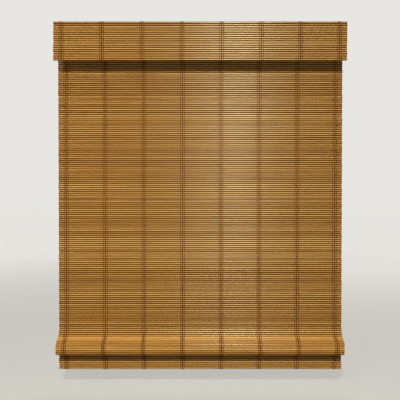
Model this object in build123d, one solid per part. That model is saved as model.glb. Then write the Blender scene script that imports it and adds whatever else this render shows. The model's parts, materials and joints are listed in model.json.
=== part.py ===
from build123d import *
import math
import os

# Bamboo roman shade, drawn fully lowered. Lengths in millimetres, angles in degrees.
# Frame: X to the right, Y towards the window, Z up. The origin is the centre of the
# screw holes in the mounting clips, on the plane that the clips are screwed to.

# Shade as a whole
SHADE_WIDTH = 914.0
SHADE_DROP = 1106.0
VALANCE_GAP = 2.0
VALANCE_HEIGHT = 120.8

# Reed mat: flat slats side by side, with a groove between each two
REED_PITCH = 6.7
REED_THICKNESS = 2.4
GROOVE_DEPTH = 0.8
GROOVE_HALF_WIDTH = 0.9

# Soft fold at the foot of the mat and the hem under it
FOLD_DEPTH = 35.0
FOLD_TOP_RADIUS = 40.0
FOLD_FRONT_RADIUS = 10.0
FOLD_FOOT_RADIUS = 9.0
FOLD_FRONT_HEIGHT = 20.5
FOLD_SLOPE_ANGLE = 60.0
FOLD_RISE_ANGLE = 20.0
HEM_BEND_RADIUS = 8.0
HEM_HEIGHT = 56.0

# Twine that binds the reeds: flat braids down the front face
TWINE_COLUMNS = 8
TWINE_EDGE_INSET = 24.0
TWINE_WIDTH = 10.6
TWINE_THICKNESS = 0.5
TWINE_CLEARANCE = 0.1

# Headrail: a folded channel, open at the top between two lips
HEADRAIL_DEPTH = 57.0
HEADRAIL_HEIGHT = 40.0
HEADRAIL_WALL = 1.2
HEADRAIL_LIP = 6.0
HEADRAIL_BEND = 1.0
HEADRAIL_SETBACK = 4.5

# End caps
CAP_FLANGE = 2.0
CAP_PLUG_DEPTH = 12.0
CAP_PLUG_WALL = 1.6
CAP_CLEARANCE = 0.2
CAP_EDGE = 0.6

# Mounting clips
CLIP_INSET = 70.0
CLIP_WIDTH = 24.0
CLIP_THICKNESS = 1.2
CLIP_TOE = 5.4
CLIP_CLEARANCE = 0.3
CLIP_HOLE_RADIUS = 2.25
CLIP_HOLE_SPACING = 24.0
CLIP_CORNER = 3.0

# Valance fixing
TAPE_THICKNESS = 3.3
TAPE_HEIGHT = 25.0
TAPE_INSET = 12.0

# Batten under the headrail that the mat is stapled to
BATTEN_DEPTH = 12.0
BATTEN_HEIGHT = 20.0
BATTEN_EDGE = 1.5
BATTEN_SCREWS = 4
BATTEN_SCREW_INSET = 30.0
SCREW_RADIUS = 1.6
SCREW_LENGTH = 14.0
SCREW_HEAD_RADIUS = 3.2
SCREW_HEAD_HEIGHT = 1.8
SCREW_CLEARANCE = 0.1

# Spring motor: four geared wheels in a row on upright pins
GEAR_MODULE = 2.25
GEAR_TEETH = 16
GEAR_THICKNESS = 5.0
GEAR_PRESSURE_ANGLE = 20.0
GEAR_BACKLASH = 0.2
GEAR_ADDENDUM_SHARE = 1.0
GEAR_DEDENDUM_SHARE = 1.25
GEAR_WALL_CLEARANCE = 1.05
WRAP_RADIUS = 14.0
STORAGE_HUB_RADIUS = 7.0
STORAGE_COIL_RADIUS = 9.5
OUTPUT_HUB_RADIUS = 9.0
OUTPUT_COIL_RADIUS = 15.0
DRUM_HEIGHT = 16.0
FLANGE_RADIUS = 17.4
FLANGE_THICKNESS = 1.4
WHEEL_END_PLAY = 0.4
WHEEL_PIN_RADIUS = 3.0
WHEEL_PIN_CLEARANCE = 0.05
SPRING_BAND = 0.5
SPRING_CLEARANCE = 0.3

# Motor frame
FRAME_THICKNESS = 2.0
FRAME_SIDE_MARGIN = 0.5
FRAME_END_CLEARANCE = 2.25
FRAME_CORNER = 4.0
FRAME_END_WALL = 2.0
FRAME_END_WIDTH = 24.0

# Cord guides over the two cord holes
PULLEY_RADIUS = 6.0
PULLEY_FLANGE = 1.2
PULLEY_WIDTH = 6.0
PULLEY_RIM = 1.5
PULLEY_CLEARANCE = 0.4
PULLEY_PIN_RADIUS = 1.5
PULLEY_PIN_CLEARANCE = 0.05
PULLEY_PIN_OVERHANG = 0.8
GUIDE_BASE = 1.4
GUIDE_CHEEK = 1.5
GUIDE_CHEEK_HALF_WIDTH = 4.8
GUIDE_CHEEK_TOP = 3.6
GUIDE_MARGIN = 3.0
GUIDE_SPOUT_RADIUS = 2.6
GUIDE_SPOUT_BORE = 1.4
GUIDE_SPOUT_LENGTH = 3.2
GUIDE_SPOUT_CLEARANCE = 0.2

# Lift cords, and the rings they run through behind the mat
CORD_RADIUS = 0.7
CORD_CLEARANCE = 0.1
RING_COLUMN = 1
RING_INTERVALS = 6
RING_RADIUS = 6.0
RING_BORE = 4.0
RING_THICKNESS = 1.6
RING_GAP = 0.3

# Bottom rail behind the hem, and the cord anchors on it
RAIL_DEPTH = 12.0
RAIL_HEIGHT = 25.0
RAIL_SETBACK = 2.0
RAIL_END_INSET = 4.0
RAIL_EDGE = 3.0
ANCHOR_WIDTH = 12.0
ANCHOR_DEPTH = 10.0
ANCHOR_HEIGHT = 8.0
ANCHOR_CORD_DEPTH = 4.0
ANCHOR_EDGE = 1.5

# Cuts run past the face they start from, and small round pieces have few sides
OVERRUN = 1.0
SCREW_SIDES = 8
ROUND_SIDES = 12
CORD_SIDES = 6
DRUM_SIDES = 16
STRAIGHT_SHARE = 0.001
HALF_TOOTH_SHARE = 0.5

# Headrail levels and faces
lip_top = -CLIP_THICKNESS
lip_under = lip_top - HEADRAIL_WALL
rail_under = lip_top - HEADRAIL_HEIGHT
floor_top = rail_under + HEADRAIL_WALL
rail_back = HEADRAIL_DEPTH / 2
inner_back = rail_back - HEADRAIL_WALL
lip_edge = rail_back - HEADRAIL_LIP
headrail_length = SHADE_WIDTH - 2 * HEADRAIL_SETBACK - 2 * CAP_FLANGE

# Motor, cords and mat follow one another forward from the headrail's back wall
gear_pitch_radius = GEAR_MODULE * GEAR_TEETH / 2
gear_tip_radius = gear_pitch_radius + GEAR_ADDENDUM_SHARE * GEAR_MODULE
gear_root_radius = gear_pitch_radius - GEAR_DEDENDUM_SHARE * GEAR_MODULE
motor_y = inner_back - GEAR_WALL_CLEARANCE - gear_tip_radius
wheel_xs = [gear_pitch_radius * place for place in (-3, -1, 1, 3)]
cord_y = motor_y + WRAP_RADIUS
mat_y = cord_y - RING_RADIUS - RING_GAP - REED_THICKNESS / 2
valance_y = -(rail_back + TAPE_THICKNESS + REED_THICKNESS / 2)

# Motor frame, round the wheels
frame_half_length = wheel_xs[-1] + gear_tip_radius + FRAME_END_CLEARANCE + FRAME_END_WALL
frame_half_width = gear_tip_radius + FRAME_SIDE_MARGIN

# Motor levels, from the headrail's floor up
frame_top = floor_top + FRAME_THICKNESS
gear_bottom = frame_top + WHEEL_END_PLAY
drum_bottom = gear_bottom + GEAR_THICKNESS
drum_top = drum_bottom + DRUM_HEIGHT
flange_top = drum_top + FLANGE_THICKNESS
cover_bottom = flange_top + WHEEL_END_PLAY
cover_top = cover_bottom + FRAME_THICKNESS
cord_z = (drum_bottom + drum_top) / 2
pulley_z = cord_z - PULLEY_RADIUS

# Twine columns, and the two of them that carry the rings
column_step = (SHADE_WIDTH - 2 * TWINE_EDGE_INSET) / (TWINE_COLUMNS - 1)
column_xs = [column_step * (i - (TWINE_COLUMNS - 1) / 2) for i in range(TWINE_COLUMNS)]
ring_x = -column_xs[RING_COLUMN]
pulley_x = ring_x - PULLEY_RADIUS

# Levels of the fold, the hem and the bottom rail
fold_foot = -SHADE_DROP + HEM_HEIGHT
foot_centre_z = fold_foot + REED_THICKNESS / 2 + FOLD_FOOT_RADIUS
slope = math.radians(FOLD_SLOPE_ANGLE)
rise = math.radians(FOLD_RISE_ANGLE)
bend_radii = FOLD_TOP_RADIUS + FOLD_FRONT_RADIUS
slope_run = (FOLD_DEPTH - bend_radii * (1 - math.cos(slope))) / math.sin(slope)
slope_drop = bend_radii * math.sin(slope) + slope_run * math.cos(slope)
fold_top = foot_centre_z + FOLD_FRONT_HEIGHT + slope_drop
under_reach = (FOLD_DEPTH - FOLD_FOOT_RADIUS * (1 + math.sin(rise))
               - HEM_BEND_RADIUS * (1 + math.sin(rise)))
under_run = under_reach / math.cos(rise)
rail_bottom = -SHADE_DROP + RAIL_SETBACK
rail_top = rail_bottom + RAIL_HEIGHT
rail_front = mat_y + REED_THICKNESS / 2
anchor_top = rail_top + ANCHOR_HEIGHT
cord_end = anchor_top - ANCHOR_CORD_DEPTH
batten_under = rail_under - BATTEN_HEIGHT
ring_step = (batten_under - fold_top) / RING_INTERVALS


def block(x_low, x_high, y_low, y_high, z_low, z_high):
    """Box between two corners."""
    corner = Pos(x_low, y_low, z_low)
    return corner * Box(x_high - x_low, y_high - y_low, z_high - z_low, align=Align.MIN)


def upright(x, y, z_low, z_high, radius):
    """Round bar along Z."""
    return Pos(x, y, z_low) * extrude(Circle(radius), amount=z_high - z_low)


def faceted(x, y, z_low, z_high, radius, sides):
    """Upright bar with flat sides, its corners at the radius."""
    return Pos(x, y, z_low) * extrude(RegularPolygon(radius, sides), amount=z_high - z_low)


def faceted_hole(x, y, z_low, z_high, radius, sides):
    """Cutter with flat sides that leaves room for a bar of the radius."""
    outline = RegularPolygon(radius, sides, major_radius=False)
    return Pos(x, y, z_low) * extrude(outline, amount=z_high - z_low)


def frame_plate(z_low, z_high):
    """Plate of the motor's frame, with its corners cut."""
    near, far = motor_y - frame_half_width, motor_y + frame_half_width
    plate = block(-frame_half_length, frame_half_length, near, far, z_low, z_high)
    return chamfer(plate.edges().filter_by(Axis.Z), FRAME_CORNER)


def along_x(points, x_low, x_high):
    """Solid with the given outline in the YZ plane, between two X places."""
    outline = Polyline(*[(x_low, y, z) for y, z in points], close=True)
    return extrude(make_face(outline), amount=x_high - x_low, dir=(1, 0, 0))


def mat_line():
    """Centre line of the hanging mat: straight, out into the fold, under it and down the hem."""
    with BuildLine(Plane.YZ) as line:
        hang = Line((mat_y, rail_under), (mat_y, fold_top))
        out = JernArc(hang @ 1, hang % 1, FOLD_TOP_RADIUS, -FOLD_SLOPE_ANGLE)
        sloping = Line(out @ 1, out @ 1 + (out % 1) * slope_run)
        over = JernArc(sloping @ 1, sloping % 1, FOLD_FRONT_RADIUS, FOLD_SLOPE_ANGLE)
        front = Line(over @ 1, over @ 1 + (over % 1) * FOLD_FRONT_HEIGHT)
        foot = JernArc(front @ 1, front % 1, FOLD_FOOT_RADIUS, 90 + FOLD_RISE_ANGLE)
        under = Line(foot @ 1, foot @ 1 + (foot % 1) * under_run)
        back = JernArc(under @ 1, under % 1, HEM_BEND_RADIUS, -(90 + FOLD_RISE_ANGLE))
        Line(back @ 1, (mat_y, -SHADE_DROP))
    return line.wire()


def reed_joints(wire):
    """Places (y, z) along a line where one reed ends and the next begins."""
    count = max(1, round(wire.length / REED_PITCH))
    spots = [wire.position_at(i / count) for i in range(count + 1)]
    return [(spot.Y, spot.Z) for spot in spots]


def chord_normals(joints):
    """Unit vectors towards the room, one to a reed."""
    normals = []
    for (y0, z0), (y1, z1) in zip(joints, joints[1:]):
        size = math.hypot(y1 - y0, z1 - z0)
        normals.append(((z1 - z0) / size, -(y1 - y0) / size))
    return normals


def joint_normals(normals):
    """Vectors at the joints that carry an offset of one from each neighbouring reed."""
    result = [normals[0]]
    for (a, b), (c, d) in zip(normals, normals[1:]):
        scale = 1 + a * c + b * d
        result.append(((a + c) / scale, (b + d) / scale))
    result.append(normals[-1])
    return result


def mat_face_points(joints, side):
    """Outline of one face of a mat: a reed is a flat between bevels in front, a low ridge behind."""
    normals = chord_normals(joints)
    mitres = joint_normals(normals)
    crest = side * REED_THICKNESS / 2
    valley = side * (REED_THICKNESS / 2 - GROOVE_DEPTH)
    points = []
    for i, (ny, nz) in enumerate(normals):
        (y0, z0), (y1, z1) = joints[i], joints[i + 1]
        my, mz = mitres[i]
        size = math.hypot(y1 - y0, z1 - z0)
        ty, tz = (y1 - y0) / size, (z1 - z0) / size
        points.append((y0 + my * valley, z0 + mz * valley))
        for run in (GROOVE_HALF_WIDTH, size - GROOVE_HALF_WIDTH) if side > 0 else (size / 2,):
            points.append((y0 + ty * run + ny * crest, z0 + tz * run + nz * crest))
    (y, z), (my, mz) = joints[-1], mitres[-1]
    points.append((y + my * valley, z + mz * valley))
    return points


def reed_mat(joints):
    """One ridged wall across the whole width."""
    outline = mat_face_points(joints, 1) + mat_face_points(joints, -1)[::-1]
    return along_x(outline, -SHADE_WIDTH / 2, SHADE_WIDTH / 2)


def bends_only(joints):
    """Joints without those that lie in a straight run."""
    kept = [joints[0]]
    for before, here, after in zip(joints, joints[1:], joints[2:]):
        turn = ((here[0] - before[0]) * (after[1] - here[1])
                - (here[1] - before[1]) * (after[0] - here[0]))
        if abs(turn) > STRAIGHT_SHARE * REED_PITCH ** 2:
            kept.append(here)
    return kept + [joints[-1]]


def twine(joints, top):
    """A braid of twine down each column, on the crests of the front face below the given level."""
    corners = bends_only(joints)
    corners[0] = (corners[0][0], top)
    mitres = joint_normals(chord_normals(corners))
    inner = REED_THICKNESS / 2 + TWINE_CLEARANCE
    outer = inner + TWINE_THICKNESS
    near = [(y + my * inner, z + mz * inner) for (y, z), (my, mz) in zip(corners, mitres)]
    far = [(y + my * outer, z + mz * outer) for (y, z), (my, mz) in zip(corners, mitres)]
    outline = near + far[::-1]
    return Compound([along_x(outline, x - TWINE_WIDTH / 2, x + TWINE_WIDTH / 2) for x in column_xs])


def batten_screw_xs():
    """Even places along the batten."""
    reach = headrail_length / 2 - BATTEN_SCREW_INSET
    step = 2 * reach / (BATTEN_SCREWS - 1)
    return [-reach + step * i for i in range(BATTEN_SCREWS)]


batten_y = mat_y - REED_THICKNESS / 2 - BATTEN_DEPTH / 2


def headrail():
    """Channel with two lips, holes for the cord spouts and for the batten screws."""
    half = headrail_length / 2
    channel = block(-half, half, -rail_back, rail_back, rail_under, lip_top)
    foot_edges = channel.edges().filter_by(Axis.X).group_by(Axis.Z)[0]
    channel = chamfer(foot_edges, HEADRAIL_BEND)
    reach = half + OVERRUN
    channel -= block(-reach, reach, -inner_back, inner_back, floor_top, lip_under)
    channel -= block(-reach, reach, -lip_edge, lip_edge, lip_under - OVERRUN, lip_top + OVERRUN)
    for side in (-1, 1):
        spout_hole = GUIDE_SPOUT_RADIUS + GUIDE_SPOUT_CLEARANCE
        low, high = rail_under - OVERRUN, floor_top + OVERRUN
        channel -= faceted_hole(side * ring_x, cord_y, low, high, spout_hole, ROUND_SIDES)
    for x in batten_screw_xs():
        screw_hole = SCREW_RADIUS + SCREW_CLEARANCE
        low, high = rail_under - OVERRUN, floor_top + OVERRUN
        channel -= faceted_hole(x, batten_y, low, high, screw_hole, SCREW_SIDES)
    return channel


def end_cap(side):
    """Moulded cap: a flange over the end, and a hollow plug inside the channel."""
    face = side * headrail_length / 2
    low, high = sorted((face, face + side * CAP_FLANGE))
    flange = block(low, high, -rail_back, rail_back, rail_under, lip_top)
    foot_edges = flange.edges().filter_by(Axis.X).group_by(Axis.Z)[0]
    flange = chamfer(foot_edges, HEADRAIL_BEND)
    rim = flange.faces().sort_by(Axis.X)[-1 if side > 0 else 0].edges()
    flange = chamfer(rim, CAP_EDGE)
    tip = face - side * CAP_PLUG_DEPTH
    plug_y = inner_back - CAP_CLEARANCE
    plug_low = floor_top + CAP_CLEARANCE
    plug_high = lip_under - CAP_CLEARANCE
    low, high = sorted((face, tip))
    plug = block(low, high, -plug_y, plug_y, plug_low, plug_high)
    low, high = sorted((face, tip - side * OVERRUN))
    hollow_y = plug_y - CAP_PLUG_WALL
    plug -= block(low, high, -hollow_y, hollow_y, plug_low + CAP_PLUG_WALL, plug_high - CAP_PLUG_WALL)
    return flange + plug


def mounting_clip(side):
    """Bent spring clip: a plate over the lips, with a toe under each lip."""
    middle = side * (headrail_length / 2 - CLIP_INSET)
    low, high = middle - CLIP_WIDTH / 2, middle + CLIP_WIDTH / 2
    plate_y = rail_back - HEADRAIL_WALL
    clip = block(low, high, -plate_y, plate_y, -CLIP_THICKNESS, 0)
    clip = chamfer(clip.edges().filter_by(Axis.Z), CLIP_CORNER)
    leg_y = lip_edge - CLIP_CLEARANCE
    toe_top = lip_under - CLIP_CLEARANCE
    toe_low = toe_top - CLIP_THICKNESS
    for way in (-1, 1):
        y_low, y_high = sorted((way * leg_y, way * (leg_y - CLIP_THICKNESS)))
        clip += block(low, high, y_low, y_high, toe_low, -CLIP_THICKNESS)
        y_low, y_high = sorted((way * (leg_y - CLIP_THICKNESS), way * (leg_y - CLIP_THICKNESS + CLIP_TOE)))
        clip += block(low, high, y_low, y_high, toe_low, toe_top)
        hole_y = way * CLIP_HOLE_SPACING / 2
        clip -= upright(middle, hole_y, -CLIP_THICKNESS - OVERRUN, OVERRUN, CLIP_HOLE_RADIUS)
    return clip


def valance_line():
    """Centre line of the valance."""
    top = -VALANCE_GAP
    return Wire(Edge.make_line((0, valance_y, top), (0, valance_y, top - VALANCE_HEIGHT)))


def valance_tape():
    """Hook and loop strip between the headrail and the valance."""
    reach = headrail_length / 2 - TAPE_INSET
    front = valance_y + REED_THICKNESS / 2
    middle = (lip_top + rail_under) / 2
    return block(-reach, reach, front, -rail_back, middle - TAPE_HEIGHT / 2, middle + TAPE_HEIGHT / 2)


def mat_batten():
    """Wooden batten with eased lower edges and pilot holes."""
    half = headrail_length / 2
    near, far = batten_y - BATTEN_DEPTH / 2, batten_y + BATTEN_DEPTH / 2
    batten = block(-half, half, near, far, batten_under, rail_under)
    batten = chamfer(batten.edges().filter_by(Axis.X).group_by(Axis.Z)[0], BATTEN_EDGE)
    for x in batten_screw_xs():
        tip = floor_top - SCREW_LENGTH - SCREW_CLEARANCE
        pilot = SCREW_RADIUS + SCREW_CLEARANCE
        batten -= faceted_hole(x, batten_y, tip, rail_under + OVERRUN, pilot, SCREW_SIDES)
    return batten


def batten_screws():
    """Pan-head screws, down through the headrail's floor into the batten."""
    screws = []
    for x in batten_screw_xs():
        shank = faceted(x, batten_y, floor_top - SCREW_LENGTH, floor_top, SCREW_RADIUS, SCREW_SIDES)
        head_top = floor_top + SCREW_HEAD_HEIGHT
        head = faceted(x, batten_y, floor_top, head_top, SCREW_HEAD_RADIUS, SCREW_SIDES)
        screws.append(shank + head)
    return Compound(screws)


def gear_outline(turned):
    """Closed outline of a gear with straight flanks inside the involute, turned by half a pitch or not."""
    pressure = math.radians(GEAR_PRESSURE_ANGLE)
    base_radius = gear_pitch_radius * math.cos(pressure)
    tip_pressure = math.acos(base_radius / gear_tip_radius)
    pitch_angle = 2 * math.pi / GEAR_TEETH
    half_tooth = (pitch_angle / 4 - GEAR_BACKLASH / 2 / gear_pitch_radius
                  + math.tan(pressure) - pressure)
    half_tip = half_tooth - (math.tan(tip_pressure) - tip_pressure)
    points = []
    for tooth in range(GEAR_TEETH):
        middle = pitch_angle * (tooth + (HALF_TOOTH_SHARE if turned else 0))
        for radius, angle in ((gear_root_radius, middle - half_tooth), (gear_tip_radius, middle - half_tip),
                              (gear_tip_radius, middle + half_tip), (gear_root_radius, middle + half_tooth)):
            points.append((radius * math.cos(angle), radius * math.sin(angle)))
    return make_face(Polyline(*points, close=True))


def motor_wheel(place, hub_radius):
    """Gear, drum and top flange in one, bored for its pin."""
    x = wheel_xs[place]
    gear = Pos(x, motor_y, gear_bottom) * extrude(gear_outline(place % 2 == 1), amount=GEAR_THICKNESS)
    drum = faceted(x, motor_y, drum_bottom, drum_top, hub_radius, DRUM_SIDES)
    flange = faceted(x, motor_y, drum_top, flange_top, FLANGE_RADIUS, DRUM_SIDES)
    bore = WHEEL_PIN_RADIUS + WHEEL_PIN_CLEARANCE
    return gear + drum + flange - upright(x, motor_y, gear_bottom - OVERRUN, flange_top + OVERRUN, bore)


def motor_spring():
    """Flat spring: a coil on each drum and the band that crosses between them."""
    low = drum_bottom + WHEEL_END_PLAY
    high = drum_top - WHEEL_END_PLAY
    storage_x, output_x = wheel_xs[2], wheel_xs[1]
    storage_reach = STORAGE_COIL_RADIUS - SPRING_BAND / 2
    output_reach = OUTPUT_COIL_RADIUS - SPRING_BAND / 2
    lean = math.acos((storage_reach + output_reach) / (storage_x - output_x))
    start = Vector(output_x + output_reach * math.cos(lean), motor_y + output_reach * math.sin(lean), low)
    stop = Vector(storage_x - storage_reach * math.cos(lean), motor_y - storage_reach * math.sin(lean), low)
    middle = (start + stop) / 2
    heading = math.degrees(math.atan2(stop.Y - start.Y, stop.X - start.X))
    band = Rot(0, 0, heading) * extrude(Rectangle((stop - start).length, SPRING_BAND), amount=high - low)
    spring = Pos(middle.X, middle.Y, low) * band
    for x, hub, coil in ((storage_x, STORAGE_HUB_RADIUS, STORAGE_COIL_RADIUS),
                         (output_x, OUTPUT_HUB_RADIUS, OUTPUT_COIL_RADIUS)):
        spring += faceted(x, motor_y, low, high, coil, DRUM_SIDES)
        eye = hub + SPRING_CLEARANCE
        spring -= faceted_hole(x, motor_y, low - OVERRUN, high + OVERRUN, eye, DRUM_SIDES)
    return spring


def motor_base():
    """Floor plate with an upright pin for each wheel."""
    base = frame_plate(floor_top, frame_top)
    for x in wheel_xs:
        base += upright(x, motor_y, frame_top, cover_top, WHEEL_PIN_RADIUS)
    return base


def motor_cover():
    """Top plate on two end walls, holding the upper ends of the pins and clear of the cords."""
    cover = frame_plate(cover_bottom, cover_top)
    near = motor_y - frame_half_width + FRAME_CORNER
    for side in (-1, 1):
        low, high = sorted((side * frame_half_length, side * (frame_half_length - FRAME_END_WALL)))
        cover += block(low, high, near, near + FRAME_END_WIDTH, frame_top, cover_bottom)
    for x in wheel_xs:
        hole = WHEEL_PIN_RADIUS + WHEEL_PIN_CLEARANCE
        cover -= faceted_hole(x, motor_y, cover_bottom - OVERRUN, cover_top + OVERRUN, hole, ROUND_SIDES)
    return cover


def along_y(x, z, y_low, y_high, radius):
    """Round bar along Y."""
    return Pos(x, y_low, z) * Rot(-90, 0, 0) * extrude(Circle(radius), amount=y_high - y_low)


cheek_near = PULLEY_WIDTH / 2 + PULLEY_CLEARANCE
cheek_far = cheek_near + GUIDE_CHEEK


def cord_guide(side):
    """Saddle on the channel's floor with two cheeks for the pulley and a spout for the cord."""
    middle = side * pulley_x
    base_top = floor_top + GUIDE_BASE
    cheek_half = GUIDE_CHEEK_HALF_WIDTH
    outer = PULLEY_RADIUS + GUIDE_SPOUT_RADIUS + GUIDE_MARGIN
    low, high = sorted((middle - side * outer, middle + side * outer))
    guide = block(low, high, cord_y - cheek_far, cord_y + cheek_far, floor_top, base_top)
    for way in (-1, 1):
        y_low, y_high = sorted((cord_y + way * cheek_near, cord_y + way * cheek_far))
        cheek_top = pulley_z + GUIDE_CHEEK_TOP
        cheek = block(middle - cheek_half, middle + cheek_half, y_low, y_high, base_top, cheek_top)
        guide += chamfer(cheek.edges().filter_by(Axis.Y).group_by(Axis.Z)[-1], cheek_half / 2)
    pin_hole = RegularPolygon(PULLEY_PIN_RADIUS + PULLEY_PIN_CLEARANCE, ROUND_SIDES, major_radius=False)
    drill = extrude(pin_hole, amount=cheek_far + OVERRUN, both=True)
    guide -= Pos(middle, cord_y, pulley_z) * Rot(90, 0, 0) * drill
    spout_low = floor_top - GUIDE_SPOUT_LENGTH
    guide += faceted(side * ring_x, cord_y, spout_low, floor_top, GUIDE_SPOUT_RADIUS, ROUND_SIDES)
    low, high = spout_low - OVERRUN, base_top + OVERRUN
    guide -= faceted_hole(side * ring_x, cord_y, low, high, GUIDE_SPOUT_BORE, SCREW_SIDES)
    return guide


def pulley(side):
    """Wheel with a groove for the cord between two flanges, bored for its pin."""
    half, groove_half = PULLEY_WIDTH / 2, PULLEY_WIDTH / 2 - PULLEY_RIM
    root = PULLEY_RADIUS - CORD_RADIUS - CORD_CLEARANCE
    flange = RegularPolygon(PULLEY_RADIUS + PULLEY_FLANGE, ROUND_SIDES)
    wheel = extrude(RegularPolygon(root, ROUND_SIDES), amount=groove_half, both=True)
    wheel += Pos(0, 0, groove_half) * extrude(flange, amount=PULLEY_RIM)
    wheel += Pos(0, 0, -half) * extrude(flange, amount=PULLEY_RIM)
    wheel -= extrude(Circle(PULLEY_PIN_RADIUS + PULLEY_PIN_CLEARANCE), amount=half + OVERRUN, both=True)
    return Pos(side * pulley_x, cord_y, pulley_z) * Rot(90, 0, 0) * wheel


def pulley_pin(side):
    """Plain pin through both cheeks."""
    reach = cheek_far + PULLEY_PIN_OVERHANG
    return along_y(side * pulley_x, pulley_z, cord_y - reach, cord_y + reach, PULLEY_PIN_RADIUS)


def lift_cord(side):
    """Taut cord from its spool along the headrail, over the pulley and down to its anchor."""
    spool_x = side * wheel_xs[-1]
    turn = Vector(side * pulley_x, cord_y, cord_z)
    with BuildLine() as route:
        run = Line((spool_x, cord_y, cord_z), turn)
        bend = ThreePointArc(turn, arc_middle(side), (side * ring_x, cord_y, pulley_z))
        Line(bend @ 1, (side * ring_x, cord_y, cord_end))
    section = Plane(origin=run @ 0, z_dir=run % 0) * RegularPolygon(CORD_RADIUS, CORD_SIDES)
    cord = sweep(section, path=route.wire())
    expected = section.area * route.wire().length
    print(f"lift cord: length {route.wire().length:.1f}, bend radius {PULLEY_RADIUS:.1f},",
          f"volume {cord.volume:.1f}, section times length {expected:.1f}")
    return cord


def arc_middle(side):
    """Middle of the quarter turn over a pulley."""
    reach = PULLEY_RADIUS * math.sqrt(0.5)
    return (side * (pulley_x + reach), cord_y, pulley_z + reach)


def ring_row(z):
    """Two rings, one behind each ring column."""
    outline = RegularPolygon(RING_RADIUS, ROUND_SIDES) - RegularPolygon(RING_BORE, ROUND_SIDES)
    ring = extrude(outline, amount=RING_THICKNESS / 2, both=True)
    return Compound([Pos(side * ring_x, cord_y, z) * ring for side in (-1, 1)])


def bottom_rail():
    """Wooden bar with eased long edges, behind the hem."""
    half = SHADE_WIDTH / 2 - RAIL_END_INSET
    bar = block(-half, half, rail_front, rail_front + RAIL_DEPTH, rail_bottom, rail_top)
    return chamfer(bar.edges().filter_by(Axis.X).group_by(Axis.Y)[-1], RAIL_EDGE)


def cord_anchors():
    """Blocks on the rail that the cords end in."""
    anchors = []
    for side in (-1, 1):
        x = side * ring_x
        low, high = x - ANCHOR_WIDTH / 2, x + ANCHOR_WIDTH / 2
        near, far = cord_y - ANCHOR_DEPTH / 2, cord_y + ANCHOR_DEPTH / 2
        anchor = block(low, high, near, far, rail_top, anchor_top)
        anchor = chamfer(anchor.edges().filter_by(Axis.Z), ANCHOR_EDGE)
        hole = CORD_RADIUS + CORD_CLEARANCE
        low, high = cord_end - CORD_CLEARANCE, anchor_top + OVERRUN
        anchor -= faceted_hole(x, cord_y, low, high, hole, SCREW_SIDES)
        anchors.append(anchor)
    return Compound(anchors)


def save(name, shape):
    """Write one piece to its own file."""
    export_step(shape, os.path.join("parts", name + ".step"))


def main():
    """Build every piece and write it."""
    os.makedirs("parts", exist_ok=True)
    hanging = reed_joints(mat_line())
    facing = reed_joints(valance_line())
    print(f"mat line {mat_line().length:.1f}, reeds {len(hanging) - 1}, valance reeds {len(facing) - 1}")
    print(f"mat y {mat_y:.2f}, valance y {valance_y:.2f}, cord y {cord_y:.2f}, motor y {motor_y:.2f}")
    print(f"ring x {ring_x:.2f}, ring step {ring_step:.2f}, fold top {fold_top:.2f}")
    save("headrail", headrail())
    for word, side in (("left", -1), ("right", 1)):
        save(f"end_cap_{word}", end_cap(side))
        save(f"mounting_clip_{word}", mounting_clip(side))
        save(f"cord_guide_{word}", cord_guide(side))
        save(f"pulley_{word}", pulley(side))
        save(f"pulley_pin_{word}", pulley_pin(side))
        save(f"lift_cord_{word}", lift_cord(side))
    save("motor_base", motor_base())
    save("motor_cover", motor_cover())
    save("motor_spring", motor_spring())
    spool_hub = WRAP_RADIUS - CORD_RADIUS - CORD_CLEARANCE
    wheels = (("cord_spool_left", spool_hub), ("spring_drum_output", OUTPUT_HUB_RADIUS),
              ("spring_drum_storage", STORAGE_HUB_RADIUS), ("cord_spool_right", spool_hub))
    for place, (name, hub_radius) in enumerate(wheels):
        save(name, motor_wheel(place, hub_radius))
    save("mat_batten", mat_batten())
    save("batten_screws", batten_screws())
    save("shade_mat", reed_mat(hanging))
    save("shade_twine", twine(hanging, batten_under - TWINE_CLEARANCE))
    save("valance_mat", reed_mat(facing))
    save("valance_twine", twine(facing, -VALANCE_GAP))
    save("valance_tape", valance_tape())
    for row in range(1, RING_INTERVALS + 1):
        save(f"ring_row_{row}", ring_row(batten_under - ring_step * row))
    save("bottom_rail", bottom_rail())
    save("cord_anchors", cord_anchors())


main()
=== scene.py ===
"""Bamboo roman shade: reeds, twine, cords and hardware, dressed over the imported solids.

Lengths are in metres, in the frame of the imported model: X to the right, Y to the back and
Z up, with the origin between the screw holes of the mounting clips.
"""
import json
import logging
import math
from dataclasses import dataclass, field
from enum import Enum
from typing import Any, Callable, Sequence

import bpy
import numpy as np
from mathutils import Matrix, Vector


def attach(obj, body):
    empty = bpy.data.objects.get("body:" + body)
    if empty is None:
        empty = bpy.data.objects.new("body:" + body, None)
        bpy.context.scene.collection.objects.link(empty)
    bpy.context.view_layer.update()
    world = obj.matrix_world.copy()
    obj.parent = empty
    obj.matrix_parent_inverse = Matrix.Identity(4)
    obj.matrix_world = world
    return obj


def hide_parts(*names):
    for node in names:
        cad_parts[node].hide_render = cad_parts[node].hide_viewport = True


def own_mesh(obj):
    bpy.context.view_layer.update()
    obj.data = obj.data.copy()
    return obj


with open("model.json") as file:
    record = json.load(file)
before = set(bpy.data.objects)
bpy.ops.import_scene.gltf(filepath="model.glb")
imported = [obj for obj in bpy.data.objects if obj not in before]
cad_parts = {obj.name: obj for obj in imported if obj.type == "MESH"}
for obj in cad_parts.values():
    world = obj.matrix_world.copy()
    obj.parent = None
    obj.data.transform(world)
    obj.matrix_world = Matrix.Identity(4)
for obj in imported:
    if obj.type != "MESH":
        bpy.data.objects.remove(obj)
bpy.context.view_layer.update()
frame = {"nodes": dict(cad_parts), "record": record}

LOG = logging.getLogger("bamboo_shade")
LIFT = 0.690
RING_X = 0.30929
Colour = tuple[float, float, float, float]
Place = tuple[float, float, float]
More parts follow.
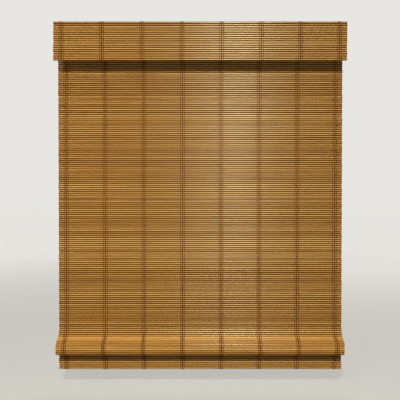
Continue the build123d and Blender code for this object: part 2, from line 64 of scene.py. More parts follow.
Span = tuple[float, float]


def srgb(red: int, green: int, blue: int) -> Colour:
    """Turn a screen colour into the linear one that shaders use.

    Args:
        red: Red from 0 to 255.
        green: Green from 0 to 255.
        blue: Blue from 0 to 255.

    Returns:
        Linear red, green, blue and an alpha of one.
    """
    def linear(part: int) -> float:
        """Undo the screen's curve for one channel."""
        share = part / 255
        return share / 12.92 if share <= 0.04045 else ((share + 0.055) / 1.055) ** 2.4
    return linear(red), linear(green), linear(blue), 1.0


PALE = srgb(236, 235, 231)
BLACK = srgb(0, 0, 0)


def operator(operation: str, swapped: bool = False) -> Callable[["Value", Any], "Value"]:
    """Make an operator of two sides, which adds a Math node.

    Args:
        operation: The node's operation.
        swapped: Whether the value stands on the right.

    Returns:
        The operator, as a method.
    """
    def apply(self: "Value", other: Any) -> "Value":
        """Add the node."""
        return self.graph.math(operation, *((other, self) if swapped else (self, other)))
    return apply


class Value:
    """A node's output that joins in arithmetic: each operator adds a Math node."""

    def __init__(self, graph: "Graph", socket: bpy.types.NodeSocket | None) -> None:
        """Keep the output and the graph that it belongs to."""
        self.graph = graph
        self.socket = socket

    __add__, __radd__ = operator("ADD"), operator("ADD", swapped=True)
    __sub__, __rsub__ = operator("SUBTRACT"), operator("SUBTRACT", swapped=True)
    __mul__, __rmul__ = operator("MULTIPLY"), operator("MULTIPLY", swapped=True)
    __truediv__, __rtruediv__ = operator("DIVIDE"), operator("DIVIDE", swapped=True)
    __pow__, __rpow__ = operator("POWER"), operator("POWER", swapped=True)
    __lt__, __gt__ = operator("LESS_THAN"), operator("GREATER_THAN")

    def __abs__(self) -> "Value":
        """Size without its sign."""
        return self.math("ABSOLUTE")

    def math(self, operation: str, *others: Any) -> "Value":
        """Put this, and any others after it, through a Math node."""
        return self.graph.math(operation, self, *others)

    def wave(self) -> "Value":
        """Swing between 0 and 1 as this angle turns."""
        return self.math("SINE") * 0.5 + 0.5


class Graph:
    """A node tree that is written as calls and expressions."""

    def __init__(self, tree: bpy.types.NodeTree) -> None:
        """Keep the tree."""
        self.tree = tree

    def node(self, kind: str, settings: dict[str, Any] | None = None,
             inputs: dict[int | str, Any] | None = None, output: int | str = 0) -> Value:
        """Add a node.

        Args:
            kind: The node's type.
            settings: Its properties, with "stops" for a ramp's colours, set first.
            inputs: Numbers, values or lists of values for its sockets, by place or name.
            output: The output that is wanted, by place or name.

        Returns:
            That output, empty for a node that ends a tree.
        """
        made = self.tree.nodes.new(kind)
        for name, setting in (settings or {}).items():
            if name == "stops":
                self._set_stops(made.color_ramp, setting)
            else:
                setattr(made, name, setting)
        for key, source in (inputs or {}).items():
            self._feed(self._socket(made.inputs, key), source)
        return Value(self, self._socket(made.outputs, output) if len(made.outputs) else None)

    @staticmethod
    def _set_stops(ramp: bpy.types.ColorRamp, stops: Sequence[tuple[float, Colour]]) -> None:
        """Give a ramp its colours.

        Args:
            ramp: The ramp.
            stops: Place and colour of each stop, in order.
        """
        while len(ramp.elements) < len(stops):
            ramp.elements.new(1.0)
        for element, (place, colour) in zip(ramp.elements, stops):
            element.position = place
            element.color = colour

    @staticmethod
    def _socket(sockets: Any, key: int | str) -> bpy.types.NodeSocket:
        """Find a socket by its place, or by its name among those in use.

        Args:
            sockets: A node's inputs or outputs.
            key: Place or name.

        Returns:
            The socket.
        """
        if isinstance(key, int):
            return sockets[key]
        return next(socket for socket in sockets if socket.enabled and socket.name == key)

    def _feed(self, socket: bpy.types.NodeSocket, source: Any) -> None:
        """Link or set a socket.

        Args:
            socket: The input.
            source: A value, a list of values, or a constant.
        """
        if not isinstance(source, (Value, list)):
            socket.default_value = source
            return
        for each in source if isinstance(source, list) else [source]:
            self.tree.links.new(each.socket, socket)

    def math(self, operation: str, *operands: Any) -> Value:
        """Add a Math node for numbers or values, in the node's order."""
        return self.node("ShaderNodeMath", {"operation": operation}, dict(enumerate(operands)))

    def split(self, vector: Value) -> list[Value]:
        """Take a vector apart into its X, Y and Z."""
        parts = self.node("ShaderNodeSeparateXYZ", None, {0: vector}).socket.node.outputs
        return [Value(self, part) for part in parts]

    def vector(self, x: Any, y: Any, z: Any) -> Value:
        """Put a vector together."""
        return self.node("ShaderNodeCombineXYZ", None, {0: x, 1: y, 2: z})

    def noise(self, vector: Value, detail: float) -> Value:
        """Smooth noise from 0 to 1, one unit to a lump, with so many finer layers."""
        return self.node("ShaderNodeTexNoise", None,
                         {"Vector": vector, "Scale": 1.0, "Detail": detail}, "Fac")

    def grain(self, rates: Place, detail: float) -> Value:
        """Noise over the object, with so many lumps to a metre along X, Y and Z."""
        x, y, z = (part * rate for part, rate in zip(self.place(), rates))
        return self.noise(self.vector(x, y, z), detail)

    def fade(self, value: Value, span: Span, levels: Span = (0.0, 1.0)) -> Value:
        """Ease from one level to another as a value runs through a span."""
        return self.node("ShaderNodeMapRange", {"interpolation_type": "SMOOTHSTEP"},
                         {"Value": value, "From Min": span[0], "From Max": span[1],
                          "To Min": levels[0], "To Max": levels[1]})

    def blend(self, share: Any, first: Any, second: Any) -> Value:
        """Mix two colours, with a share of the second."""
        return self.node("ShaderNodeMix", {"data_type": "RGBA", "blend_type": "MIX"},
                         {"Factor": share, "A": first, "B": second}, "Result")

    def ramp(self, share: Value, stops: Sequence[tuple[float, Colour]]) -> Value:
        """Colour along a ramp."""
        return self.node("ShaderNodeValToRGB", {"stops": stops}, {"Fac": share}, "Color")

    def attribute(self, name: str) -> Value:
        """Read a number that the mesh carries."""
        return self.node("ShaderNodeAttribute", {"attribute_name": name}, None, "Fac")

    def place(self) -> list[Value]:
        """Give X, Y and Z on the object, in metres."""
        return self.split(self.node("ShaderNodeTexCoord", None, None, "Object"))

    def seen(self) -> Value:
        """Give one where the camera sees a surface, straight on or in a gloss, else zero."""
        rays = [self.node("ShaderNodeLightPath", None, None, f"Is {kind} Ray")
                for kind in ("Camera", "Glossy", "Transmission")]
        return (rays[0] + rays[1] + rays[2]).math("MINIMUM", 1.0)

    def bump(self, height: Value, distance: float) -> Value:
        """Bend the normal by a relief from 0 to 1, with its real height in metres."""
        return self.node("ShaderNodeBump", None,
                         {"Strength": 1.0, "Distance": distance, "Height": height}, "Normal")

    def surface(self, **sockets: Any) -> None:
        """End the tree in a principled surface.

        Args:
            sockets: Its inputs, with an underscore for each space in the name.
        """
        inputs = {name.replace("_", " "): source for name, source in sockets.items()}
        shader = self.node("ShaderNodeBsdfPrincipled", None, inputs, "BSDF")
        self.node("ShaderNodeOutputMaterial", None, {"Surface": shader})


@dataclass(frozen=True)
class Finish:
    """A surface finish, made into a material once and then shared."""

    name: str

    def paint(self, graph: Graph) -> None:
        """Draw the finish in an empty tree."""
        raise NotImplementedError

    def material(self) -> bpy.types.Material:
        """Give the finish's material.

        Returns:
            The material, new at the first call.
        """
        made = bpy.data.materials.get(self.name)
        if made is None:
            made = bpy.data.materials.new(self.name)
            made.use_nodes = True
            made.node_tree.nodes.clear()
            self.paint(Graph(made.node_tree))
        return made


@dataclass(frozen=True)
class BambooFinish(Finish):
    """Split bamboo under satin varnish: each reed its own tone, streaked along its length."""

    stops: tuple[tuple[float, Colour], ...] = (
        (0.00, srgb(116, 67, 22)),
        (0.30, srgb(168, 115, 49)),
        (0.55, srgb(195, 141, 72)),
        (0.80, srgb(213, 164, 95)),
        (1.00, srgb(232, 192, 136)),
    )
    tone_share: float = 0.38
    streak_share: float = 0.54
    fibre_share: float = 0.2
    shade_drop: float = 0.06
    streak_run: float = 9.0
    streak_across: float = 1.6
    fibre_run: float = 40.0
    fibre_across: float = 9.0
    reed_step: float = 7.31
    russet: Colour = srgb(146, 88, 52)
    russet_run: float = 1.7
    russet_drift: float = 0.5
    russet_blush: float = 0.75
    russet_from: float = 0.955
    node_mark: Colour = srgb(96, 52, 20)
    node_spacing: float = 0.29
    node_half_width: float = 0.0025
    mark_share: float = 0.3
    # Painted shade between reeds: its colour, where it starts across the reed, and its strength.
    painted_reed_shade: Colour = srgb(58, 30, 5)
    reed_shade_span: Span = (0.27, 0.80)
    reed_shade_share: float = 0.94
    gloss: float = 0.6
    gloss_span: Span = (0.08, 0.62)
    gloss_roughness: float = 0.29
    gloss_index: float = 1.6
    roughness: float = 0.42
    streak_roughness: float = 0.2
    fibre_relief: float = 0.6
    node_relief: float = 0.4
    relief_depth: float = 0.00004

    def paint(self, graph: Graph) -> None:
        """Draw tone, streaks, node marks, painted shade between the reeds, and varnish.

        Args:
            graph: The material's tree.
        """
        x, _, _ = graph.place()
        across = graph.attribute("across")
        own = graph.attribute("reed") * self.reed_step
        streak = graph.noise(graph.vector(x * self.streak_run, across * self.streak_across, own), 4.0)
        fibre = graph.noise(graph.vector(x * self.fibre_run, across * self.fibre_across, own), 3.0)
        shade = (graph.attribute("tone") * self.tone_share + streak * self.streak_share
                 + fibre * self.fibre_share - self.shade_drop)
        colour = graph.ramp(shade, self.stops)
        drift = graph.noise(graph.vector(x * self.russet_run, 0.0, own), 1.0)
        russet = drift * self.russet_drift + graph.attribute("blush") * self.russet_blush
        colour = graph.blend((russet > self.russet_from) * self.mark_share, colour, self.russet)
        beat = (x / self.node_spacing + own).math("FRACT")
        ring = abs(beat - 0.5) < self.node_half_width / self.node_spacing / 2
        colour = graph.blend(ring * self.mark_share, colour, self.node_mark)
        # Painted shade: each reed darkens towards its long sides, where shade falls between reeds, less where
        # the mat bends open.
        rim = graph.fade(abs(across), self.reed_shade_span) * graph.attribute("shade_in_grooves")
        colour = graph.blend(rim * self.reed_shade_share, colour, self.painted_reed_shade)
        crown = graph.fade(abs(across), self.gloss_span, (self.gloss, 0.0))
        relief = fibre * self.fibre_relief + ring * self.node_relief
        graph.surface(Base_Color=colour, Roughness=self.roughness + streak * self.streak_roughness,
                      Specular_IOR_Level=0.0, Coat_Weight=crown, Coat_Roughness=self.gloss_roughness,
                      Coat_IOR=self.gloss_index, Normal=graph.bump(relief, self.relief_depth))


@dataclass(frozen=True)
class ThreadFinish(Finish):
    """Twisted thread: plies that wind round, with loose fibre tone."""

    dark: Colour = srgb(81, 42, 11)
    light: Colour = srgb(146, 90, 30)
    ply: float = 0.0016
    ply_share: float = 0.45
    ply_depth: float = 0.00012
    mottle: Place = (260.0, 260.0, 260.0)
    mottle_share: float = 0.5
    roughness: float = 0.82
    shine: float = 0.08

    def paint(self, graph: Graph) -> None:
        """Draw plies on the slant, and a mottled tone.

        Args:
            graph: The material's tree.
        """
        x, y, z = graph.place()
        ply = ((x + y + z) * (math.tau / self.ply)).wave()
        share = ply * self.ply_share + graph.grain(self.mottle, 2.0) * self.mottle_share
        graph.surface(Base_Color=graph.blend(share, self.dark, self.light), Roughness=self.roughness,
                      Specular_IOR_Level=self.shine, Normal=graph.bump(ply, self.ply_depth))


@dataclass(frozen=True)
class MottledFinish(Finish):
    """A hard surface with broad patches of a second colour and a fine relief."""

    colour: Colour
    second: Colour
    patch: Place
    fine: Place
    patch_detail: float = 3.0
    patch_span: Span = (0.0, 1.0)
    patch_share: float = 0.6
    patch_roughness: float = 0.0
    fine_detail: float = 1.0
    fine_depth: float = 0.00005
    fine_roughness: float = 0.0
    roughness: float = 0.42
    metallic: float = 0.0
    coat: float = 0.0

    def paint(self, graph: Graph) -> None:
        """Draw the patches and the relief.

        Args:
            graph: The material's tree.
        """
        patch = graph.grain(self.patch, self.patch_detail)
        fine = graph.grain(self.fine, self.fine_detail)
        start, full = self.patch_span
        cover = graph.node("ShaderNodeMapRange", None, {"Value": patch, "From Min": start, "From Max": full})
        rough: Any = self.roughness
        for noise, share in ((fine, self.fine_roughness), (patch, self.patch_roughness)):
            if share:
                rough = rough + noise * share
        graph.surface(Base_Color=graph.blend(cover * self.patch_share, self.colour, self.second),
                      Metallic=self.metallic, Roughness=rough, Coat_Weight=self.coat,
                      Normal=graph.bump(fine, self.fine_depth))


@dataclass(frozen=True)
class EnamelFinish(MottledFinish):
    """Baked enamel on thin metal: a faint ripple, and wear where it is rubbed."""

    colour: Colour = srgb(226, 220, 204)
    second: Colour = srgb(196, 188, 170)
    patch: Place = (1 / 0.012, 1 / 0.012, 1 / 0.012)
    patch_detail: float = 4.0
    patch_span: Span = (0.56, 0.78)
    patch_roughness: float = 0.16
    fine: Place = (700.0, 700.0, 700.0)
    fine_depth: float = 0.00006
    roughness: float = 0.32
    coat: float = 0.15


@dataclass(frozen=True)
class MouldedFinish(MottledFinish):
    """Moulded plastic: flow marks, a fine spark-eroded texture and slight yellowing."""

    colour: Colour = srgb(228, 222, 208)
    second: Colour = srgb(206, 194, 168)
    patch: Place = (38.0, 60.0, 60.0)
    patch_share: float = 0.55
    fine: Place = (1600.0, 1600.0, 1600.0)
    fine_roughness: float = 0.16


@dataclass(frozen=True)
class SteelFinish(MottledFinish):
    """Bare or plated steel with rolling lines and dull patches."""

    colour: Colour = srgb(196, 196, 194)
    second: Colour = srgb(150, 150, 146)
    patch: Place = (120.0, 120.0, 120.0)
    patch_roughness: float = 0.1
    fine: Place = (30.0, 900.0, 900.0)
    fine_detail: float = 2.0
    fine_depth: float = 0.00003
    fine_roughness: float = 0.2
    roughness: float = 0.62
    metallic: float = 1.0


@dataclass(frozen=True)
class TimberFinish(Finish):
    """Sawn softwood along X: growth lines, pores and a thin stain."""

    light: Colour = srgb(206, 166, 112)
    dark: Colour = srgb(150, 104, 58)
    line_step: float = 0.0021
    line_slant: float = 0.8
    line_share: float = 0.55
    sway: Place = (5.0, 30.0, 30.0)
    sway_reach: float = 0.006
    pore: Place = (60.0, 1400.0, 1400.0)
    pore_share: float = 0.45
    pore_roughness: float = 0.15
    pore_depth: float = 0.00018
    roughness: float = 0.6

    def paint(self, graph: Graph) -> None:
        """Draw the growth lines and the pores.

        Args:
            graph: The material's tree.
        """
        _, y, z = graph.place()
        bend = graph.grain(self.sway, 2.0) * self.sway_reach
        lines = ((y * self.line_slant + z + bend) * (math.tau / self.line_step)).wave()
        pores = graph.grain(self.pore, 2.0)
        share = lines * self.line_share + pores * self.pore_share
        graph.surface(Base_Color=graph.blend(share, self.light, self.dark),
                      Roughness=self.roughness + pores * self.pore_roughness,
                      Normal=graph.bump(pores, self.pore_depth))


@dataclass(frozen=True)
class WovenFinish(Finish):
    """Plain-woven tape: warp and weft at right angles, with a soft pile."""

    light: Colour = srgb(214, 206, 190)
    dark: Colour = srgb(170, 160, 142)
    thread: float = 0.0012
    weave_share: float = 0.6
    weave_depth: float = 0.0002
    pile: Place = (800.0, 800.0, 800.0)
    pile_share: float = 0.4
    roughness: float = 0.86

    def paint(self, graph: Graph) -> None:
        """Draw the weave and the pile.

        Args:
            graph: The material's tree.
        """
        x, _, z = graph.place()
        rate = math.tau / self.thread
        weave = (x * rate).math("SINE") * (z * rate).math("SINE") * 0.5 + 0.5
        share = weave * self.weave_share + graph.grain(self.pile, 2.0) * self.pile_share
        graph.surface(Base_Color=graph.blend(share, self.dark, self.light), Roughness=self.roughness,
                      Normal=graph.bump(weave, self.weave_depth))


@dataclass(frozen=True)
class PaintFinish(Finish):
    """Flat floor paint that shows pale, fading with distance into the colour of the surroundings."""

    colour: Colour = PALE
    base: Colour = srgb(116, 114, 110)
    glow: Span = (0.52, 0.88)
    glow_span: Span = (0.8, 4.0)
    bounce: float = 0.14
    roller: Place = (90.0, 90.0, 90.0)
    roller_roughness: float = 0.15
    roughness: float = 0.8
    shine: float = 0.1
    tooth: float = 0.0002

    def paint(self, graph: Graph) -> None:
        """Draw the paint, its glow where it is seen, and a little even light.

        Args:
            graph: The material's tree.
        """
        x, y, _ = graph.place()
        roller = graph.grain(self.roller, 2.0)
        level = graph.fade((x * x + y * y) ** 0.5, self.glow_span, self.glow)
        shown = graph.seen() * (level - self.bounce) + self.bounce
        graph.surface(Base_Color=self.base, Roughness=self.roughness + roller * self.roller_roughness,
                      Specular_IOR_Level=self.shine, Emission_Color=graph.blend(shown, BLACK, self.colour),
                      Emission_Strength=1.0, Normal=graph.bump(roller, self.tooth))


def stand(name: str, data: Any) -> bpy.types.Object:
    """Put a new object in the scene, at the origin.

    Args:
        name: The object's name.
        data: Its mesh, curve, lamp or camera.

    Returns:
        The object.
    """
    made = bpy.data.objects.new(name, data)
    bpy.context.scene.collection.objects.link(made)
    return made


def plain_mesh(holder: bpy.types.Object) -> bpy.types.Mesh:
    """Give an object's finished shape as a mesh of its own."""
    graph = bpy.context.evaluated_depsgraph_get()
    return bpy.data.meshes.new_from_object(holder.evaluated_get(graph), depsgraph=graph)


class SocketKind(Enum):
    """Kinds of input that a recipe takes."""

    LENGTH = "NodeSocketFloat"
    COUNT = "NodeSocketInt"
    MATERIAL = "NodeSocketMaterial"


class Recipe(Graph):
    """A Geometry Nodes tree with named inputs, run on base meshes to give plain meshes."""

    def __init__(self, name: str) -> None:
        """Start an empty tree.

        Args:
            name: The tree's name.
        """
        super().__init__(bpy.data.node_groups.new(name, "GeometryNodeTree"))
        for way in ("INPUT", "OUTPUT"):
            self.tree.interface.new_socket("Geometry", in_out=way, socket_type="NodeSocketGeometry")
        self.inlet = self.node("NodeGroupInput").socket.node
        self.settings: dict[str, Any] = {}
        self.sockets: dict[str, str] = {}

    def base(self) -> Value:
        """Give the geometry that the recipe runs on."""
        return Value(self, self.inlet.outputs["Geometry"])

    def inputs(self, kind: SocketKind, settings: dict[str, Any]) -> list[Value]:
        """Add named inputs of one kind.

        Args:
            kind: Their kind.
            settings: What each is set to when the recipe runs, by name.

        Returns:
            Their values inside the tree, in order.
        """
        for name, setting in settings.items():
            item = self.tree.interface.new_socket(name, in_out="INPUT", socket_type=kind.value)
            self.settings[item.identifier] = setting
            self.sockets[name] = item.identifier
        return [Value(self, self.inlet.outputs[name]) for name in settings]

    def read(self, name: str) -> Value:
        """Read a number that the geometry carries."""
        return self.node("GeometryNodeInputNamedAttribute", {"data_type": "FLOAT"},
                         {"Name": name}, "Attribute")

    def store(self, geometry: Value, name: str, number: Value) -> Value:
        """Keep a number on each point of some geometry."""
        return self.node("GeometryNodeStoreNamedAttribute", {"data_type": "FLOAT", "domain": "POINT"},
                         {"Geometry": geometry, "Name": name, "Value": number})

    def place(self) -> list[Value]:
        """Give X, Y and Z of each point."""
        return self.split(self.node("GeometryNodeInputPosition"))

    def scatter(self, reach: Any, seed: int) -> Value:
        """Draw a number for each point, up to some size either way from zero."""
        return self.node("FunctionNodeRandomValue", {"data_type": "FLOAT"},
                         {"Min": -1.0, "Max": 1.0, "Seed": seed}, "Value") * reach

    def moved(self, geometry: Value, x: Any, y: Any, z: Any) -> Value:
        """Shift each point."""
        return self.node("GeometryNodeSetPosition", None,
                         {"Geometry": geometry, "Offset": self.vector(x, y, z)})

    def shaped(self, geometry: Value, x: Any, y: Any, z: Any) -> Value:
        """Put each point in a new place."""
        return self.node("GeometryNodeSetPosition", None,
                         {"Geometry": geometry, "Position": self.vector(x, y, z)})

    def turned(self, geometry: Value, x: Any, y: Any, turn: float = 0.0) -> Value:
        """Shift a piece of geometry, and turn it about X."""
        return self.node("GeometryNodeTransform", None,
                         {"Geometry": geometry, "Translation": self.vector(x, y, 0.0),
                          "Rotation": (turn, 0.0, 0.0)})

    def on_points(self, points: Value, piece: Value, turn: Any = (0.0, 0.0, 0.0)) -> Value:
        """Put a copy of a piece on each point, turned about X, Y and Z."""
        return self.node("GeometryNodeInstanceOnPoints", None,
                         {"Points": points, "Instance": piece, "Rotation": turn})

    def realized(self, geometry: Value) -> Value:
        """Turn copies into real geometry."""
        return self.node("GeometryNodeRealizeInstances", None, {"Geometry": geometry})

    def joined(self, pieces: list[Value]) -> Value:
        """Put pieces together."""
        return self.node("GeometryNodeJoinGeometry", None, {"Geometry": pieces})

    def row(self, count: Value, start: Any, step: Value) -> Value:
        """Make a row of points along X."""
        return self.node("GeometryNodeMeshLine", None,
                         {"Count": count, "Start Location": start,
                          "Offset": self.vector(step, 0.0, 0.0)})

    def circle(self, points: Any, radius: Any) -> Value:
        """Make a closed round line of so many points."""
        return self.node("GeometryNodeCurvePrimitiveCircle", None,
                         {"Resolution": points, "Radius": radius}, "Curve")

    def tube(self, line: Value, section: Value) -> Value:
        """Sweep a section along a line."""
        return self.node("GeometryNodeCurveToMesh", None, {"Curve": line, "Profile Curve": section})

    def smooth(self, geometry: Value, crease: float) -> Value:
        """Shade smooth, apart from edges that bend by more than an angle.

        Args:
            geometry: The mesh.
            crease: The angle, in radians.

        Returns:
            The mesh with its shading set.
        """
        angle = self.node("GeometryNodeInputMeshEdgeAngle", None, None, "Unsigned Angle")
        for domain, state in (("FACE", True), ("EDGE", angle < crease)):
            geometry = self.node("GeometryNodeSetShadeSmooth", {"domain": domain},
                                 {"Geometry": geometry, "Shade Smooth": state})
        return geometry

    def close(self, geometry: Value, finish: Finish) -> "Recipe":
        """End the tree with real geometry in one finish.

        Args:
            geometry: What was made.
            finish: Its finish.

        Returns:
            The recipe itself.
        """
        material, = self.inputs(SocketKind.MATERIAL, {"Material": finish.material()})
        coated = self.node("GeometryNodeSetMaterial", None,
                           {"Geometry": self.realized(geometry), "Material": material})
        self.node("NodeGroupOutput", None, {"Geometry": coated})
        return self

    def run(self, name: str, base: bpy.types.Mesh, changes: dict[str, Any] | None = None) -> bpy.types.Object:
        """Run the recipe.

        Args:
            name: The new piece's name.
            base: The mesh that it runs on.
            changes: Inputs that differ for this piece, by name.

        Returns:
            The piece, a plain mesh with no modifier.
        """
        piece = stand(name, base)
        modifier = piece.modifiers.new(self.tree.name, "NODES")
        modifier.node_group = self.tree
        changed = {self.sockets[key]: setting for key, setting in (changes or {}).items()}
        for identifier, setting in (self.settings | changed).items():
            modifier[identifier] = setting
        mesh = plain_mesh(piece)
        piece.modifiers.clear()
        piece.data = mesh
        mesh.name = name
        return piece


def point_mesh(name: str, points: Sequence[Place],
               numbers: dict[str, Sequence[float]] | None = None) -> bpy.types.Mesh:
    """Make a mesh of loose points.

    Args:
        name: The mesh's name.
        points: Their places.
        numbers: Attributes, one number to a point.

    Returns:
        The mesh.
    """
    mesh = bpy.data.meshes.new(name)
    mesh.from_pydata(points, [], [])
    for key, column in (numbers or {}).items():
        mesh.attributes.new(key, "FLOAT", "POINT").data.foreach_set("value", np.array(column, np.float32))
    return mesh


def settle(piece: bpy.types.Object, body: str, slot: str, *nodes: str) -> bpy.types.Object:
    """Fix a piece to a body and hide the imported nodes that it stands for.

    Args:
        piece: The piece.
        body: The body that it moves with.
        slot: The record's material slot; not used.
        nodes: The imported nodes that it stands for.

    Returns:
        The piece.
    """
    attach(piece, body)
    if nodes:
        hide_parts(*nodes)
    LOG.info("%s: %d faces on %s", piece.name, len(piece.data.polygons), body)
    return piece


@dataclass(frozen=True)
class Reed:
    """One reed's place in a mat: its middle, its lean and its number."""

    y: float
    z: float
    tilt: float
    number: int


@dataclass(frozen=True)
class MatLine:
    """Centre line of a mat, as runs and turns from its upper end."""

    start: tuple[float, float]
    runs: tuple[tuple[float, float], ...]
    pitch: float = 0.0067

    def length(self) -> float:
        """Give the line's whole length."""
        return sum(self._size(run) for run in self.runs)

    @staticmethod
    def _size(run: tuple[float, float]) -> float:
        """Length of one run: (length, 0) if straight, or (radius, turn in radians)."""
        size, turn = run
        return size * abs(turn) if turn else size

    def at(self, distance: float) -> tuple[float, float]:
        """Find the place at a distance from the upper end.

        Args:
            distance: Distance along the line.

        Returns:
            Y and Z.
        """
        (y, z), heading = self.start, 0.0
        for run in self.runs:
            size, turn = run
            part = min(distance, self._size(run))
            if turn:
                bend = math.copysign(part / size, turn)
                reach = math.copysign(size, turn)
                y += reach * (math.cos(heading + bend) - math.cos(heading))
                z -= reach * (math.sin(heading + bend) - math.sin(heading))
                heading += bend
            else:
                y -= part * math.sin(heading)
                z -= part * math.cos(heading)
            distance -= part
            if distance <= 0:
                break
        return y, z

    def reeds(self, first_number: int = 0) -> list[Reed]:
        """Lay reeds along the line, side by side.

        Args:
            first_number: The first reed's number.

        Returns:
            The reeds, from the top.
        """
        count = max(1, round(self.length() / self.pitch))
        joints = [self.at(self.length() * i / count) for i in range(count + 1)]
        return [Reed((y0 + y1) / 2, (z0 + z1) / 2, -math.atan2(y0 - y1, z0 - z1), number)
                for number, ((y0, z0), (y1, z1)) in enumerate(zip(joints, joints[1:]), first_number)]


@dataclass
class ReedBed:
    """Reeds and the twine that binds them, for any stretch of mat."""

    width: float = 0.914
    reed_width: float = 0.0070
    front_crown: float = 0.0023
    back_crown: float = 0.0012
    roundness: float = 2.0
    sides: int = 12
    segments: int = 5
    end_scatter: float = 0.0011
    end_seed: int = 5
    bow: float = 0.0007
    bow_rate: float = 5.5
    bow_step: float = 3.7
    swell_layer: float = 40.0
    swell_share: float = 0.6
    roll: float = 0.05
    roll_seed: int = 9
    columns: int = 8
    column_inset: float = 0.024
    column_drift: float = 0.0052
    drift_span: float = 0.95
    loop_half_width: float = 0.0029
    loop_half_height: float = 0.0036
    loop_spacing: float = 0.0067
    front_standoff: float = 0.0026
    back_standoff: float = 0.0016
    loop_dip: float = 0.0016
    loop_points: int = 10
    thread_radius: float = 0.0009
    thread_sides: int = 4
    slack: float = 0.0005
    slack_rate: float = 40.0
    slack_rate_down: float = 130.0
    sag_layer: float = 20.0
    crease: float = 0.9
    # Share of the painted shade between reeds where the mat bends, and on the fold's front.
    bent_shade_share: float = 0.25
    bent_from: float = 0.55
    fold_shade_share: float = 0.55
    fold_span: Span = (-0.030, -0.012)
    tone_seed: int = 41
    reed_finish: Finish = BambooFinish("split_bamboo")
    twine_finish: Finish = ThreadFinish("binding_twine")
    reed_recipe: Recipe = field(init=False)
    twine_recipe: Recipe = field(init=False)

    def __post_init__(self) -> None:
        """Write both recipes once."""
        self.reed_recipe = self._write_reeds()
        self.twine_recipe = self._write_twine()

    def _write_reeds(self) -> Recipe:
        """Write the recipe for reeds: an oval bar on each point, bowed and uneven at its ends.

        Returns:
            The recipe.
        """
        recipe = Recipe("reeds")
        length, width, front_crown, back_crown, roundness, uneven, bow, roll = recipe.inputs(
            SocketKind.LENGTH, {
                "Length": self.width, "Reed width": self.reed_width, "Front crown": self.front_crown,
                "Back crown": self.back_crown, "Roundness": self.roundness,
                "End scatter": self.end_scatter, "Bow": self.bow, "Roll": self.roll})
        sides, segments = recipe.inputs(SocketKind.COUNT, {"Sides": self.sides, "Segments": self.segments})
        bar = recipe.node("GeometryNodeMeshCylinder", {"fill_type": "NGON"}, {
            "Vertices": sides, "Side Segments": segments, "Radius": 1.0, "Depth": length}, "Mesh")
        depth, across, along = recipe.place()
        bar = recipe.store(bar, "across", across)
        back = depth > 0.0
        crown = (abs(depth) ** roundness) * (back * (back_crown + front_crown) - front_crown)
        bar = recipe.shaped(bar, along, crown, across * width / 2)
        points = recipe.moved(recipe.base(), recipe.scatter(uneven, self.end_seed), 0.0, 0.0)
        lean = recipe.read("tilt") + recipe.scatter(roll, self.roll_seed)
        reeds = recipe.realized(recipe.on_points(points, bar, recipe.vector(lean, 0.0, 0.0)))
        x, _, _ = recipe.place()
        own = recipe.read("reed") * self.bow_step
        rise, swell = (recipe.noise(recipe.vector(x * self.bow_rate, own, layer), 1.0) - 0.5
                       for layer in (0.0, self.swell_layer))
        reeds = recipe.moved(reeds, 0.0, swell * bow * self.swell_share, rise * bow)
        return recipe.close(recipe.smooth(reeds, self.crease), self.reed_finish)

    def _write_twine(self) -> Recipe:
        """Write the recipe for twine: two chains of loops to a column, in front and behind.

        Returns:
            The recipe.
        """
        recipe = Recipe("twine")
        step, inset, drift, half_width, half_height, spacing, front, back, dip, radius, slack = recipe.inputs(
            SocketKind.LENGTH, {
                "Column step": (self.width - 2 * self.column_inset) / (self.columns - 1),
                "First column": self.column_inset - self.width / 2, "Column drift": self.column_drift,
                "Loop half width": self.loop_half_width, "Loop half height": self.loop_half_height,
                "Loop spacing": self.loop_spacing, "Front standoff": self.front_standoff,
                "Back standoff": self.back_standoff, "Dip": self.loop_dip,
                "Thread radius": self.thread_radius, "Slack": self.slack})
        columns, points, sides = recipe.inputs(SocketKind.COUNT, {
            "Columns": self.columns, "Loop points": self.loop_points, "Thread sides": self.thread_sides})
        ring = recipe.circle(points, 1.0)
        across, up, _ = recipe.place()
        ring = recipe.shaped(ring, across * half_width, up * up * dip, up * half_height)
        loop = recipe.tube(ring, recipe.circle(sides, radius))
        pair = recipe.joined([recipe.turned(loop, spacing * side, 0.0) for side in (-0.5, 0.5)])
        stitch = recipe.joined([recipe.turned(pair, 0.0, 0.0 - front),
                                recipe.turned(pair, 0.0, back, math.pi)])
        line = recipe.row(columns, recipe.vector(inset, 0.0, 0.0), step)
        turn = recipe.place()[0] * (math.pi / self.drift_span)
        line = recipe.moved(line, turn.math("COSINE") * drift, 0.0, 0.0)
        row = recipe.on_points(line, stitch)
        tilt = recipe.vector(recipe.read("tilt"), 0.0, 0.0)
        rows = recipe.realized(recipe.on_points(recipe.base(), row, tilt))
        x, y, z = recipe.place()
        stray, sag = (recipe.noise(recipe.vector(x * self.slack_rate + layer, y * self.slack_rate,
                                                 z * self.slack_rate_down), 1.0) - 0.5
                      for layer in (0.0, self.sag_layer))
        rows = recipe.moved(rows, stray * slack * 2, 0.0, sag * slack)
        return recipe.close(recipe.smooth(rows, math.pi), self.twine_finish)

    def _shade_for_grooves(self, reed: Reed) -> float:
        """Give how much painted shade the grooves beside a reed get: less where the mat bends and the grooves
        open to the light.

        Args:
            reed: The reed.

        Returns:
            A share from 0 to 1.
        """
        if abs(reed.tilt) > self.bent_from:
            return self.bent_shade_share
        return self.fold_shade_share if self.fold_span[0] < reed.y < self.fold_span[1] else 1.0

